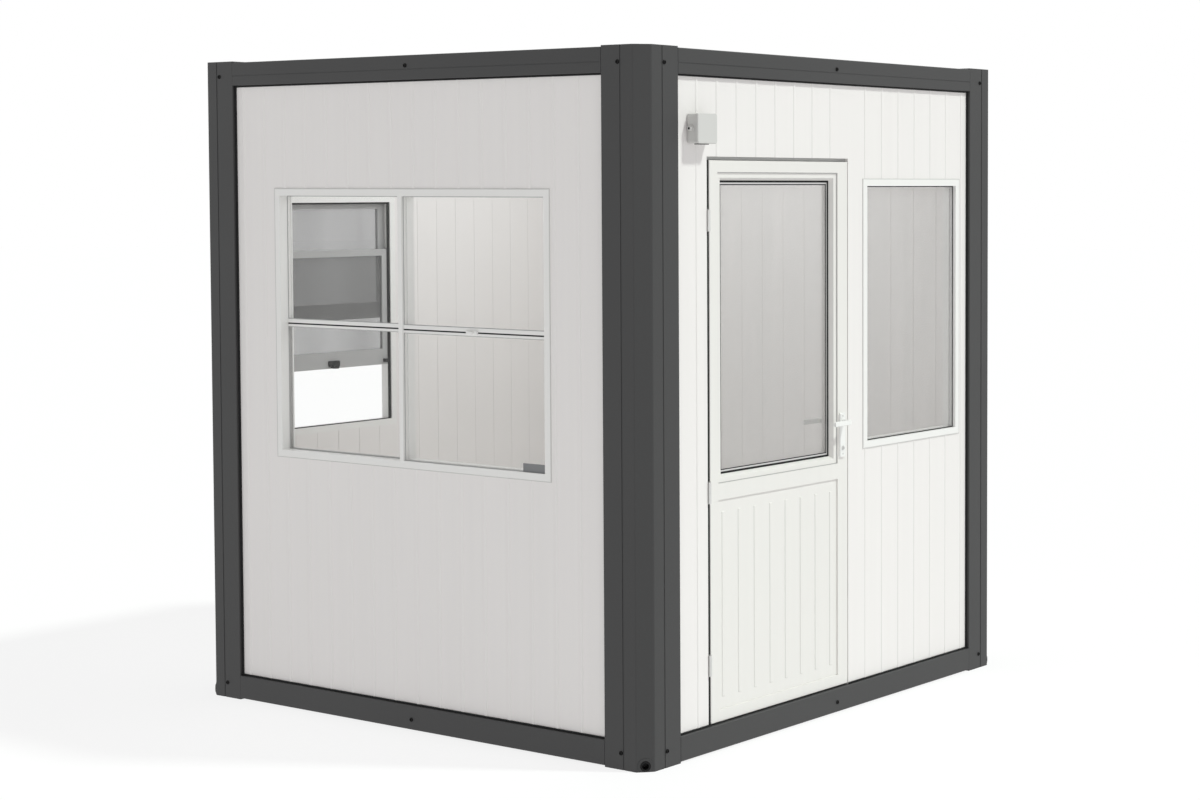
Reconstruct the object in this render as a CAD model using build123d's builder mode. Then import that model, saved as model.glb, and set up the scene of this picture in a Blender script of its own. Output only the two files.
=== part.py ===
"""Security guard booth: a square steel frame, ribbed wall panels, one door and three windows.

Millimetres, +Z up. The origin is on the ground at the centre of the plan, the door wall
faces -Y and the wall with the wide window faces -X.
"""
from build123d import *
import os

os.makedirs("parts", exist_ok=True)

# Overall size
booth_width = 2400
booth_depth = 2400
booth_height = 2650

# Folded steel frame
post_face = 200
post_chamfer = 48
post_bend_radius = 10
post_edge_radius = 3
post_groove_from_corner = 106
groove_width = 8
groove_depth = 1.5
rail_band = 100
rail_step = 5
rail_edge_radius = 4
top_rail_groove_below_top = 60
top_rail_groove_width = 4

# Drain in the foot of each post
drain_radius = 16
drain_height = 22
drain_bore_depth = 40
drain_stub_proud = 6
drain_wall = 3
fit_clearance = 0.2

# Wall panels, ribbed outside
wall_recess = 17
wall_thickness = 60
rib_from_corner = 325
rib_pitch = 122
rib_foot = 16
rib_crest = 8
rib_height = 2.5

# Floor and roof
floor_thickness = 18
joist_width = 60
joist_count = 5
joist_edge_distance = 300
ceiling_thickness = 50
roof_sheet_thickness = 4
roof_rib_height = 26
roof_rib_pitch = 250
roof_rib_crest = 40
roof_rib_foot = 76

# Doorway in the front wall, from the front left corner and from the ground
doorway_left = 385
doorway_width = 915
doorway_top = 2249

# Door leaf
leaf_width = 895
leaf_hinge_gap = 13
leaf_under_gap = 6
leaf_over_gap = 14
leaf_face_depth = 15
leaf_thickness = 60
leaf_edge_radius = 3
flange_thickness = 15
flange_lap_hinge = 27
flange_lap_lock = 21
flange_lap_top = 13
flange_lap_bottom = 14
hinge_stile_width = 49
lock_stile_width = 68
door_top_rail = 44
door_bottom_rail = 45
mid_rail_bottom = 953
mid_rail_height = 62
glazing_lip_width = 26
glazing_lip_thickness = 14

# Door glass, glazing bead and ribbed lower panel
bead_width = 31
bead_set_back = 6
bead_slope_width = 10
bead_slope_depth = 18
door_glass_thickness = 20
lower_panel_set_back = 6
lower_panel_thickness = 30
swage_count = 8
swage_pitch = 100
swage_from_stile = 33
swage_width = 18
swage_height = 3
swage_draft = 50
swage_end_margin = 46

# Door frame
flange_clearance = 5
head_clearance = 6
threshold_clearance = 6
jamb_clearance = 8
threshold_bevel = 5

# Hinges
hinge_heights = (330, 985, 2010)
knuckle_radius = 6
knuckle_length = 40
hinge_pin_radius = 3
hinge_pin_length = 38
hinge_pin_clearance = 0.2
knuckle_gap = 0.5
hinge_web = 5
hinge_axis_forward = 2

# Lever handle and lock
spindle_height = 1183
spindle_from_leaf_edge = 43
spindle_radius = 4
plate_width = 36
plate_height = 180
plate_thickness = 8
plate_corner = 6
plate_bevel = 2
lever_length = 125
lever_height = 20
lever_thickness = 12
lever_stand = 56
lever_bend_radius = 14
lever_bevel = 3
collar_radius = 12
collar_height = 7
cylinder_below_spindle = 106
cylinder_radius = 8.5
cylinder_proud = 3
key_slot_width = 2

# Window frames and panes
frame_proud = 3
frame_edge_radius = 2
glazing_stop_width = 4
pane_thickness = 16

# Wide window in the left wall, from the corners beside it and from the ground
left_window_from_front = 470
left_window_from_back = 432
left_window_sill = 1034
left_window_height = 1093
left_frame_width = 28
front_light_width = 744
left_mullion_width = 22
front_light_set_back = 10
back_light_set_back = 42
meeting_rail_bottom = 1566
meeting_rail_height = 30
meeting_rail_proud = 5
meeting_seam_above_bottom = 9
meeting_seam_height = 6
meeting_seam_depth = 4
latch_width = 60
latch_height = 16
latch_depth = 7
latch_corner = 5
latch_bevel = 1.5
latch_thumb_width = 26
latch_thumb_height = 9
latch_thumb_depth = 8

# Narrow windows of one size in the front wall and in the back wall
narrow_window_from_doorway = 106
narrow_window_from_post = 64
back_window_from_post = 88
narrow_window_sill = 1060
narrow_window_height = 1106
narrow_frame_width = 28
front_window_set_back = 16

# Vertical sliding sashes of the back window under its deep head; the lower one is held part way up
back_window_head = 101
sash_stile = 42
sash_top_rail = 30
sash_bottom_rail = 71
sash_thickness = 20
sash_height = 520
sash_opening = 247
sash_set_back = 8
sash_track_gap = 4
sash_bevel = 4
sash_glass_thickness = 6
pull_width = 60
pull_height = 26
pull_depth = 22
pull_lip = 8
pull_corner = 6
pull_lip_corner = 4
catch_corner = 4
catch_size = 16
catch_height = 18
catch_from_track = 33

# Junction box on the front wall
box_left = 267
box_below_rail = 143
box_width = 115
box_height = 112
box_depth = 52
box_corner = 8
box_lid_thickness = 12
box_lid_overlap = 1.5
box_lid_bevel = 2.5
gland_nut_radius = 14
gland_nut_thickness = 6
gland_dome_radius = 10
gland_dome_length = 10
gland_dome_bevel = 3
gland_bore_radius = 5
gland_bore_depth = 14

# Worked out from the sizes above
half_width = booth_width / 2
half_depth = booth_depth / 2
frame_depth = wall_recess + wall_thickness
rail_high_bottom = booth_height - rail_band
doorway_right = doorway_left + doorway_width

# Each wall has a plane on the outer face of the posts. Seen from outside, x runs to the right
# from the wall's left corner, y runs up from the ground and z points outwards.
front = Plane(origin=(-half_width, -half_depth, 0), x_dir=(1, 0, 0), z_dir=(0, -1, 0))
right = Plane(origin=(half_width, -half_depth, 0), x_dir=(0, 1, 0), z_dir=(1, 0, 0))
back = Plane(origin=(half_width, half_depth, 0), x_dir=(-1, 0, 0), z_dir=(0, 1, 0))
left = Plane(origin=(-half_width, half_depth, 0), x_dir=(0, -1, 0), z_dir=(-1, 0, 0))


def save(part, name):
    """Label a finished piece and write it to its own file."""
    part.label = name
    export_step(part, f"parts/{name}.step")


def plan_of(wall, height):
    """Level plane at a height: x runs along the wall and y runs into the room."""
    return Plane(origin=wall.origin, x_dir=wall.x_dir, z_dir=(0, 0, 1)).offset(height)


def outer_face(part, wall):
    """Face of a part that lies furthest out from a wall."""
    return part.faces().sort_by(Axis(wall.origin, wall.z_dir))[-1]


def middle(x0, x1, y0, y1):
    """Centre of a rectangle given by its sides."""
    return (x0 + x1) / 2, (y0 + y1) / 2


def inset(sides, bar):
    """Sides of a rectangle, moved in by the width of a bar."""
    x0, x1, y0, y1 = sides
    return x0 + bar, x1 - bar, y0 + bar, y1 - bar


def board(wall, x0, x1, y0, y1, depth0, depth1):
    """Rectangular board behind a wall's outer face, between two depths."""
    with BuildPart() as piece:
        with BuildSketch(wall.offset(-depth0)):
            with Locations(middle(x0, x1, y0, y1)):
                Rectangle(x1 - x0, y1 - y0)
        extrude(amount=depth0 - depth1)
    return piece.part


def ring(wall, x0, x1, y0, y1, bars, depth0, depth1):
    """Rectangular frame; bars gives the width of its left, right, bottom and top bars."""
    bar_left, bar_right, bar_bottom, bar_top = bars
    hole = (x0 + bar_left, x1 - bar_right, y0 + bar_bottom, y1 - bar_top)
    with BuildPart() as piece:
        with BuildSketch(wall.offset(-depth0)):
            with Locations(middle(x0, x1, y0, y1)):
                Rectangle(x1 - x0, y1 - y0)
            with Locations(middle(*hole)):
                Rectangle(hole[1] - hole[0], hole[3] - hole[2], mode=Mode.SUBTRACT)
        extrude(amount=depth0 - depth1)
    return piece.part


# Corner posts: L-shaped, with a bevelled outer corner, a groove down each face and a drain bore
post_outline = [
    (post_chamfer, 0),
    (post_face, 0),
    (post_face, frame_depth),
    (frame_depth, frame_depth),
    (frame_depth, post_face),
    (0, post_face),
    (0, post_chamfer),
]
post_radii = [post_bend_radius, post_edge_radius, 0, 0, 0, post_edge_radius, post_bend_radius]
drain_plane = Plane(
    origin=(post_chamfer / 2, post_chamfer / 2, drain_height),
    x_dir=(1, -1, 0),
    z_dir=(-1, -1, 0),
)


def place_at_corner(part, x_sign, y_sign):
    """Move a piece drawn at the front left corner to the corner that the signs name."""
    placed = Pos(-half_width, -half_depth, 0) * part
    if x_sign > 0:
        placed = mirror(placed, about=Plane.YZ)
    if y_sign > 0:
        placed = mirror(placed, about=Plane.XZ)
    return placed


def corner_post():
    """Post of the front left corner, with the corner of the plan at the origin."""
    with BuildPart() as post:
        with BuildSketch():
            with BuildLine():
                FilletPolyline(*post_outline, radius=post_radii, close=True)
            make_face()
            with Locations((post_groove_from_corner, 0)):
                Rectangle(groove_width, 2 * groove_depth, mode=Mode.SUBTRACT)
            with Locations((0, post_groove_from_corner)):
                Rectangle(2 * groove_depth, groove_width, mode=Mode.SUBTRACT)
        extrude(amount=booth_height)
        with BuildSketch(drain_plane):
            Circle(drain_radius)
        extrude(amount=-drain_bore_depth, mode=Mode.SUBTRACT)
    return post.part


def drain_stub():
    """Short pipe end that stands out of the post's drain bore."""
    pipe_radius = drain_radius - fit_clearance
    with BuildPart() as stub:
        with BuildSketch(drain_plane.offset(-drain_bore_depth)):
            Circle(pipe_radius)
        extrude(amount=drain_bore_depth + drain_stub_proud)
        with BuildSketch(drain_plane.offset(-drain_bore_depth)):
            Circle(pipe_radius - drain_wall)
        extrude(amount=drain_bore_depth + drain_stub_proud, mode=Mode.SUBTRACT)
    return stub.part


corners = {
    "front_left": (-1, -1),
    "front_right": (1, -1),
    "back_left": (-1, 1),
    "back_right": (1, 1),
}
for corner_name, signs in corners.items():
    save(place_at_corner(corner_post(), *signs), f"corner_post_{corner_name}")
save(Compound(children=[place_at_corner(drain_stub(), *signs) for signs in corners.values()]), "drain_stubs")

# Rails between the posts, flush with the posts' faces and one step short of their ends
walls = {
    "front": (front, booth_width),
    "right": (right, booth_depth),
    "back": (back, booth_width),
    "left": (left, booth_depth),
}


def rail(wall, length, y0, y1, groove_height=None):
    """Rail with rounded outer edges, and a groove along it where a height is given."""
    with BuildPart() as bar:
        add(board(wall, post_face, length - post_face, y0, y1, 0, frame_depth))
        face = outer_face(bar, wall)
        fillet(face.edges().filter_by(Axis(wall.origin, wall.x_dir)), radius=rail_edge_radius)
        if groove_height:
            with BuildSketch(wall):
                with Locations((length / 2, groove_height)):
                    Rectangle(length - 2 * post_face, top_rail_groove_width)
            extrude(amount=-groove_depth, mode=Mode.SUBTRACT)
    return bar.part


for wall_name, (wall, length) in walls.items():
    save(rail(wall, length, rail_step, rail_band), f"bottom_rail_{wall_name}")
    top_rail = rail(
        wall, length, rail_high_bottom, booth_height - rail_step, booth_height - top_rail_groove_below_top
    )
    save(top_rail, f"top_rail_{wall_name}")


# Wall panels between the posts and rails, split beside and over the doorway
def rib_places(x0, x1, length, from_right=False):
    """Ribs that fit on a panel from x0 to x1, at one pitch from the wall's left or right corner."""
    count = int((length - rib_from_corner) // rib_pitch) + 1
    places = [rib_from_corner + rib_pitch * number for number in range(count)]
    if from_right:
        places = [length - x for x in places]
    return [x for x in places if x0 + rib_foot < x < x1 - rib_foot]


rib_section = [
    (-rib_foot / 2, wall_recess),
    (rib_foot / 2, wall_recess),
    (rib_crest / 2, wall_recess - rib_height),
    (-rib_crest / 2, wall_recess - rib_height),
]


def wall_panel(wall, x0, x1, y0, y1, ribs, hole=None):
    """Panel with upright ribs outside; hole gives the sides of a window hole through it."""
    with BuildPart() as panel:
        add(board(wall, x0, x1, y0, y1, wall_recess, frame_depth))
        with BuildSketch(plan_of(wall, y0)):
            for x in ribs:
                with Locations((x, 0)):
                    Polygon(*rib_section)
        extrude(amount=y1 - y0)
        if hole:
            with BuildSketch(wall):
                with Locations(middle(*hole)):
                    Rectangle(hole[1] - hole[0], hole[3] - hole[2])
            extrude(amount=-frame_depth, mode=Mode.SUBTRACT)
    return panel.part


wall_end = booth_width - post_face
narrow_window_left = doorway_right + narrow_window_from_doorway
narrow_window_right = wall_end - narrow_window_from_post
narrow_window_top = narrow_window_sill + narrow_window_height
front_window = (narrow_window_left, narrow_window_right, narrow_window_sill, narrow_window_top)
back_window_right = wall_end - back_window_from_post
back_window_left = back_window_right - narrow_window_right + narrow_window_left
back_window = (back_window_left, back_window_right, narrow_window_sill, narrow_window_top)
left_window = (
    left_window_from_back,
    booth_depth - left_window_from_front,
    left_window_sill,
    left_window_sill + left_window_height,
)
panel_heights = (rail_band, rail_high_bottom)
front_panels = {
    "front_wall_beside_hinges": (post_face, doorway_left, *panel_heights),
    "front_wall_over_door": (doorway_left, doorway_right, doorway_top, rail_high_bottom),
}
for panel_name, sides in front_panels.items():
    ribs = rib_places(sides[0], sides[1], booth_width)
    save(wall_panel(front, *sides, ribs), panel_name)
ribs = rib_places(doorway_right, wall_end, booth_width)
save(
    wall_panel(front, doorway_right, wall_end, *panel_heights, ribs, front_window),
    "front_wall_with_window",
)
ribs = rib_places(post_face, wall_end, booth_width)
save(wall_panel(back, post_face, wall_end, *panel_heights, ribs, back_window), "back_wall")
side_end = booth_depth - post_face
ribs = rib_places(post_face, side_end, booth_depth, from_right=True)
save(wall_panel(left, post_face, side_end, *panel_heights, ribs, left_window), "left_wall")
ribs = rib_places(post_face, side_end, booth_depth)
save(wall_panel(right, post_face, side_end, *panel_heights, ribs), "right_wall")

# Floor board inside the bottom rails, on joists that run from side to side
room_width = booth_width - 2 * frame_depth
room_depth = booth_depth - 2 * frame_depth
floor_under = rail_band - floor_thickness
with BuildPart() as floor_board:
    with BuildSketch(Plane.XY.offset(floor_under)):
        Rectangle(room_width, room_depth)
    extrude(amount=floor_thickness)
save(floor_board.part, "floor_board")

joist_pitch = (booth_depth - 2 * joist_edge_distance) / (joist_count - 1)
with BuildPart() as floor_joists:
    with BuildSketch(Plane.XY.offset(rail_step)):
        with GridLocations(0, joist_pitch, 1, joist_count):
            Rectangle(room_width, joist_width)
    extrude(amount=floor_under - rail_step)
save(floor_joists.part, "floor_joists")

# Ceiling panel between the top rails, with a ribbed roof sheet lying on it
with BuildPart() as ceiling_panel:
    with BuildSketch(Plane.XY.offset(rail_high_bottom)):
        Rectangle(room_width, room_depth)
    extrude(amount=ceiling_thickness)
save(ceiling_panel.part, "ceiling_panel")

ceiling_top = rail_high_bottom + ceiling_thickness
roof_rib_count = int(room_width // roof_rib_pitch)
first_roof_rib = -roof_rib_pitch * (roof_rib_count - 1) / 2
crest_under = roof_rib_height - roof_sheet_thickness
sheet_under = [(-room_width / 2, 0)]
for number in range(roof_rib_count):
    rib_x = first_roof_rib + number * roof_rib_pitch
    sheet_under += [
        (rib_x - roof_rib_foot / 2, 0),
        (rib_x - roof_rib_crest / 2, crest_under),
        (rib_x + roof_rib_crest / 2, crest_under),
        (rib_x + roof_rib_foot / 2, 0),
    ]
sheet_under.append((room_width / 2, 0))
sheet_over = [(x, y + roof_sheet_thickness) for x, y in reversed(sheet_under)]
roof_end = Plane(origin=(0, -room_depth / 2, ceiling_top), x_dir=(1, 0, 0), z_dir=(0, -1, 0))
with BuildPart() as roof_sheet:
    with BuildSketch(roof_end):
        with BuildLine():
            Polyline(*sheet_under, *sheet_over, close=True)
        make_face()
    extrude(amount=-room_depth)
save(roof_sheet.part, "roof_sheet")

# Door frame: two jambs, a head and a threshold, set back so that the leaf's flange laps them
leaf_left = doorway_left + leaf_hinge_gap
leaf_right = leaf_left + leaf_width
leaf_bottom = rail_band + leaf_under_gap
leaf_top = doorway_top - leaf_over_gap
leaf_back_depth = leaf_face_depth + leaf_thickness
flange_back_depth = leaf_face_depth + flange_thickness
jamb_depth = flange_back_depth + flange_clearance
body_left = leaf_left + flange_lap_hinge
body_right = leaf_right - flange_lap_lock
body_bottom = leaf_bottom + flange_lap_bottom
body_top = leaf_top - flange_lap_top
inner_left = body_left - jamb_clearance
inner_right = body_right + jamb_clearance
head_bottom = body_top + head_clearance
threshold_top = body_bottom - threshold_clearance
door_frame = {
    "door_jamb_hinge_side": (doorway_left, inner_left, rail_band, doorway_top),
    "door_jamb_lock_side": (inner_right, doorway_right, rail_band, doorway_top),
    "door_head": (inner_left, inner_right, head_bottom, doorway_top),
}
for piece_name, sides in door_frame.items():
    save(board(front, *sides, jamb_depth, frame_depth), piece_name)
with BuildPart() as threshold:
    add(board(front, inner_left, inner_right, rail_band, threshold_top, jamb_depth, frame_depth))
    top_edges = outer_face(threshold, front).edges().filter_by(Axis.X).sort_by(Axis.Z)
    chamfer(top_edges[-1], length=threshold_bevel)
save(threshold.part, "door_threshold")

# Door leaf: a flanged frame with a mid rail, rebated from outside for the glass and lower panel
opening_left = leaf_left + hinge_stile_width
opening_right = leaf_right - lock_stile_width
mid_rail_top = mid_rail_bottom + mid_rail_height
glass_opening = (opening_left, opening_right, mid_rail_top, leaf_top - door_top_rail)
panel_opening = (opening_left, opening_right, leaf_bottom + door_bottom_rail, mid_rail_bottom)
glass_back_depth = leaf_back_depth - glazing_lip_thickness
panel_face_depth = leaf_face_depth + lower_panel_set_back
panel_back_depth = panel_face_depth + lower_panel_thickness
spindle_x = leaf_right - spindle_from_leaf_edge
cylinder_height = spindle_height - cylinder_below_spindle


def rebate(opening, back_depth):
    """Pocket from the leaf's face to this depth, and a smaller hole on through that leaves a lip."""
    with BuildPart() as cutter:
        add(board(front, *opening, leaf_face_depth, back_depth))
        add(board(front, *inset(opening, glazing_lip_width), back_depth, leaf_back_depth))
    return cutter.part


with BuildPart() as door_leaf:
    add(board(front, leaf_left, leaf_right, leaf_bottom, leaf_top, leaf_face_depth, flange_back_depth))
    fillet(outer_face(door_leaf, front).edges(), radius=leaf_edge_radius)
    add(board(front, body_left, body_right, body_bottom, body_top, flange_back_depth, leaf_back_depth))
    add(rebate(glass_opening, glass_back_depth), mode=Mode.SUBTRACT)
    add(rebate(panel_opening, panel_back_depth), mode=Mode.SUBTRACT)
    with BuildSketch(front.offset(-leaf_face_depth)):
        with Locations((spindle_x, spindle_height)):
            Circle(spindle_radius + fit_clearance)
        with Locations((spindle_x, cylinder_height)):
            Circle(cylinder_radius + fit_clearance)
    extrude(amount=-leaf_thickness, mode=Mode.SUBTRACT)
save(door_leaf.part, "door_leaf")

# Door glass on its lip, held by a bead whose inner side slopes back to the glass
glass_face_depth = glass_back_depth - door_glass_thickness
save(board(front, *glass_opening, glass_face_depth, glass_back_depth), "door_glass")
bead_face_depth = leaf_face_depth + bead_set_back
with BuildPart() as door_bead:
    add(ring(front, *glass_opening, (bead_width,) * 4, bead_face_depth, glass_face_depth))
    bead_face = outer_face(door_bead, front)
    chamfer(
        bead_face.inner_wires().edges(),
        length=bead_slope_width,
        length2=bead_slope_depth,
        reference=bead_face,
    )
save(door_bead.part, "door_glazing_bead")

# Lower door panel with raised swages, drafted on every side
swage_length = panel_opening[3] - panel_opening[2] - 2 * swage_end_margin
swage_middle = (panel_opening[2] + panel_opening[3]) / 2
swage_start = opening_left + swage_from_stile
with BuildPart() as door_panel:
    add(board(front, *panel_opening, panel_face_depth, panel_back_depth))
    with BuildSketch(front.offset(-panel_face_depth)):
        for number in range(swage_count):
            with Locations((swage_start + number * swage_pitch, swage_middle)):
                Rectangle(swage_width, swage_length)
    extrude(amount=swage_height, taper=swage_draft)
save(door_panel.part, "door_lower_panel")

# Hinges: each lower knuckle and its pin stand on the jamb, each upper knuckle hangs on the leaf
hinge_x = doorway_left + leaf_hinge_gap / 2
hinge_depth = leaf_face_depth - hinge_axis_forward
frame_web_length = jamb_depth - hinge_depth
leaf_web_length = leaf_left - hinge_x
frame_knuckles = []
leaf_knuckles = []
for hinge_height in hinge_heights:
    with BuildPart() as frame_knuckle:
        with BuildSketch(plan_of(front, hinge_height - knuckle_length)):
            with Locations((hinge_x, hinge_depth)):
                Circle(knuckle_radius)
        extrude(amount=knuckle_length)
        with BuildSketch(plan_of(front, hinge_height - knuckle_length)):
            with Locations((hinge_x, hinge_depth + frame_web_length / 2)):
                Rectangle(hinge_web, frame_web_length)
        extrude(amount=knuckle_length)
        with BuildSketch(plan_of(front, hinge_height)):
            with Locations((hinge_x, hinge_depth)):
                Circle(hinge_pin_radius)
        extrude(amount=hinge_pin_length)
    frame_knuckles.append(frame_knuckle.part)
    with BuildPart() as leaf_knuckle:
        with BuildSketch(plan_of(front, hinge_height + knuckle_gap)):
            with Locations((hinge_x, hinge_depth)):
                Circle(knuckle_radius)
        extrude(amount=knuckle_length)
        with BuildSketch(plan_of(front, hinge_height + knuckle_gap)):
            with Locations((hinge_x + leaf_web_length / 2, leaf_face_depth + hinge_web / 2 + leaf_edge_radius)):
                Rectangle(leaf_web_length, hinge_web)
        extrude(amount=knuckle_length)
        with BuildSketch(plan_of(front, hinge_height + knuckle_gap)):
            with Locations((hinge_x, hinge_depth)):
                Circle(hinge_pin_radius + hinge_pin_clearance)
        extrude(amount=hinge_pin_length, mode=Mode.SUBTRACT)
    leaf_knuckles.append(leaf_knuckle.part)
save(Compound(children=frame_knuckles), "hinge_frame_halves")
save(Compound(children=leaf_knuckles), "hinge_leaf_halves")


# Back plates either side of the leaf, with holes for the spindle and the lock cylinder
def handle_plate(start_depth, direction):
    """Back plate that stands off the leaf from start_depth; direction is 1 for outwards."""
    with BuildPart() as plate:
        with BuildSketch(front.offset(-start_depth)):
            with Locations((spindle_x, (spindle_height + cylinder_height) / 2)):
                RectangleRounded(plate_width, plate_height, plate_corner)
        extrude(amount=direction * plate_thickness)
        free_face = plate.faces().sort_by(Axis.Y)[0 if direction > 0 else -1]
        chamfer(free_face.edges(), length=plate_bevel)
        with BuildSketch(front.offset(-start_depth)):
            with Locations((spindle_x, spindle_height)):
                Circle(spindle_radius + fit_clearance)
            with Locations((spindle_x, cylinder_height)):
                Circle(cylinder_radius + fit_clearance)
        extrude(amount=direction * plate_thickness, mode=Mode.SUBTRACT)
    return plate.part


plates = [handle_plate(leaf_face_depth, 1), handle_plate(leaf_back_depth, -1)]
save(Compound(children=plates), "handle_plates")

cylinder_start = leaf_face_depth - plate_thickness - cylinder_proud
cylinder_length = leaf_thickness + 2 * (plate_thickness + cylinder_proud)
with BuildPart() as lock_cylinder:
    with BuildSketch(front.offset(-cylinder_start)):
        with Locations((spindle_x, cylinder_height)):
            Circle(cylinder_radius)
    extrude(amount=-cylinder_length)
    with BuildSketch(front.offset(-cylinder_start)):
        with Locations((spindle_x, cylinder_height)):
            Rectangle(key_slot_width, cylinder_radius)
    extrude(amount=-cylinder_proud, mode=Mode.SUBTRACT)
save(lock_cylinder.part, "lock_cylinder")


# Lever handle: one spindle through the leaf, with a collar and a bent lever at each end
def lever(plate_face_depth, lever_end_depth):
    """Collar beside a plate and a lever that bends over towards the hinges."""
    outward = 1 if lever_end_depth < plate_face_depth else -1
    start_depth = plate_face_depth - outward * fit_clearance
    arm_depth = lever_end_depth + outward * lever_thickness / 2
    arm_end = spindle_x + lever_height / 2 - lever_length
    with BuildPart() as piece:
        with BuildSketch(plan_of(front, spindle_height - lever_height / 2)):
            with BuildLine() as bend:
                FilletPolyline(
                    (spindle_x, start_depth),
                    (spindle_x, arm_depth),
                    (arm_end, arm_depth),
                    radius=lever_bend_radius,
                )
            trace(bend.line, line_width=lever_thickness)
        extrude(amount=lever_height)
        chamfer(piece.faces().filter_by(Axis.Z).edges(), length=lever_bevel)
        with BuildSketch(front.offset(-start_depth)):
            with Locations((spindle_x, spindle_height)):
                Circle(collar_radius)
        extrude(amount=outward * collar_height)
    return piece.part


outer_plate_face = leaf_face_depth - plate_thickness
inner_plate_face = leaf_back_depth + plate_thickness
with BuildPart() as lever_handle:
    with BuildSketch(front.offset(collar_height - outer_plate_face)):
        with Locations((spindle_x, spindle_height)):
            Circle(spindle_radius)
    extrude(amount=outer_plate_face - inner_plate_face - 2 * collar_height)
    add(lever(outer_plate_face, leaf_face_depth - lever_stand))
    add(lever(inner_plate_face, leaf_back_depth + lever_stand))
save(lever_handle.part, "lever_handle")

# Window frames: a frame that fills the window hole, with a stop behind each pane
frame_face_depth = wall_recess - frame_proud


def window_frame(wall, sides, lights):
    """Window frame; each light gives the sides of its pane and the depth of the pane's back."""
    x0, x1, y0, y1 = sides
    with BuildPart() as frame:
        add(board(wall, x0, x1, y0, y1, frame_face_depth, frame_depth))
        fillet(outer_face(frame, wall).edges(), radius=frame_edge_radius)
        for light_x0, light_x1, light_y0, light_y1, pane_back in lights:
            width = light_x1 - light_x0
            height = light_y1 - light_y0
            with BuildSketch(wall.offset(-frame_face_depth)):
                with Locations(middle(light_x0, light_x1, light_y0, light_y1)):
                    Rectangle(width, height)
            extrude(amount=frame_face_depth - pane_back, mode=Mode.SUBTRACT)
            if pane_back < frame_depth:
                with BuildSketch(wall.offset(-pane_back)):
                    with Locations(middle(light_x0, light_x1, light_y0, light_y1)):
                        Rectangle(width - 2 * glazing_stop_width, height - 2 * glazing_stop_width)
                extrude(amount=pane_back - frame_depth, mode=Mode.SUBTRACT)
    return frame.part


# Wide left window: two lights side by side, each cut by a meeting rail, at different depths
left_x0, left_x1, left_y0, left_y1 = inset(left_window, left_frame_width)
mullion_right = left_x1 - front_light_width
mullion_left = mullion_right - left_mullion_width
front_light_face = frame_face_depth + front_light_set_back
back_light_face = frame_face_depth + back_light_set_back
left_lights = [
    (mullion_right, left_x1, left_y0, left_y1, front_light_face + pane_thickness),
    (left_x0, mullion_left, left_y0, left_y1, back_light_face + pane_thickness),
]
save(window_frame(left, left_window, left_lights), "left_window_frame")

meeting_rail_top = meeting_rail_bottom + meeting_rail_height
seam_bottom = meeting_rail_bottom + meeting_seam_above_bottom
left_panes = []
left_rails = []
for x0, x1, y0, y1, pane_back in left_lights:
    pane_face = pane_back - pane_thickness
    rail_face = pane_face - meeting_rail_proud
    left_panes.append(board(left, x0, x1, y0, meeting_rail_bottom, pane_face, pane_back))
    left_panes.append(board(left, x0, x1, meeting_rail_top, y1, pane_face, pane_back))
    with BuildPart() as meeting_rail:
        add(board(left, x0, x1, meeting_rail_bottom, meeting_rail_top, rail_face, pane_back))
        with BuildSketch(left.offset(-rail_face)):
            with Locations(middle(x0, x1, seam_bottom, seam_bottom + meeting_seam_height)):
                Rectangle(x1 - x0, meeting_seam_height)
        extrude(amount=-meeting_seam_depth, mode=Mode.SUBTRACT)
    left_rails.append(meeting_rail.part)
save(Compound(children=left_panes), "left_window_panes")
save(Compound(children=left_rails), "left_window_meeting_rails")

latch_x = mullion_right + front_light_width / 2
latch_y = seam_bottom + meeting_seam_height / 2
with BuildPart() as window_latch:
    with BuildSketch(left.offset(meeting_rail_proud - front_light_face)):
        with Locations((latch_x, latch_y)):
            RectangleRounded(latch_width, latch_height, latch_corner)
    extrude(amount=latch_depth)
    chamfer(outer_face(window_latch, left).edges(), length=latch_bevel)
    with BuildSketch(left.offset(meeting_rail_proud + latch_depth - front_light_face)):
        with Locations((latch_x, latch_y)):
            SlotOverall(latch_thumb_width, latch_thumb_height)
    extrude(amount=latch_thumb_depth)
save(window_latch.part, "left_window_latch")

# Front window: one pane
front_pane = inset(front_window, narrow_frame_width)
front_pane_face = frame_face_depth + front_window_set_back
front_pane_back = front_pane_face + pane_thickness
save(window_frame(front, front_window, [(*front_pane, front_pane_back)]), "front_window_frame")
save(board(front, *front_pane, front_pane_face, front_pane_back), "front_window_pane")

# Back window: a fixed upper sash in the outer track and a lower sash raised in the inner track
track_x0, track_x1, track_bottom, narrow_pane_top = inset(back_window, narrow_frame_width)
track_top = narrow_pane_top + narrow_frame_width - back_window_head
back_clear = (track_x0, track_x1, track_bottom, track_top)
outer_track = frame_face_depth + sash_set_back
inner_track = outer_track + sash_thickness + sash_track_gap
save(window_frame(back, back_window, [(*back_clear, frame_depth)]), "back_window_frame")


def sash(y0, y1, depth):
    """Sash frame with bevelled inner edges, and its glass; depth is that of its outer face."""
    bars = (sash_stile, sash_stile, sash_bottom_rail, sash_top_rail)
    with BuildPart() as frame:
        add(ring(back, track_x0, track_x1, y0, y1, bars, depth, depth + sash_thickness))
        chamfer(outer_face(frame, back).inner_wires().edges(), length=sash_bevel)
    glass_depth = depth + (sash_thickness - sash_glass_thickness) / 2
    glass = board(
        back, track_x0 + sash_stile, track_x1 - sash_stile, y0 + sash_bottom_rail, y1 - sash_top_rail,
        glass_depth, glass_depth + sash_glass_thickness,
    )
    return frame.part, glass


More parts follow.
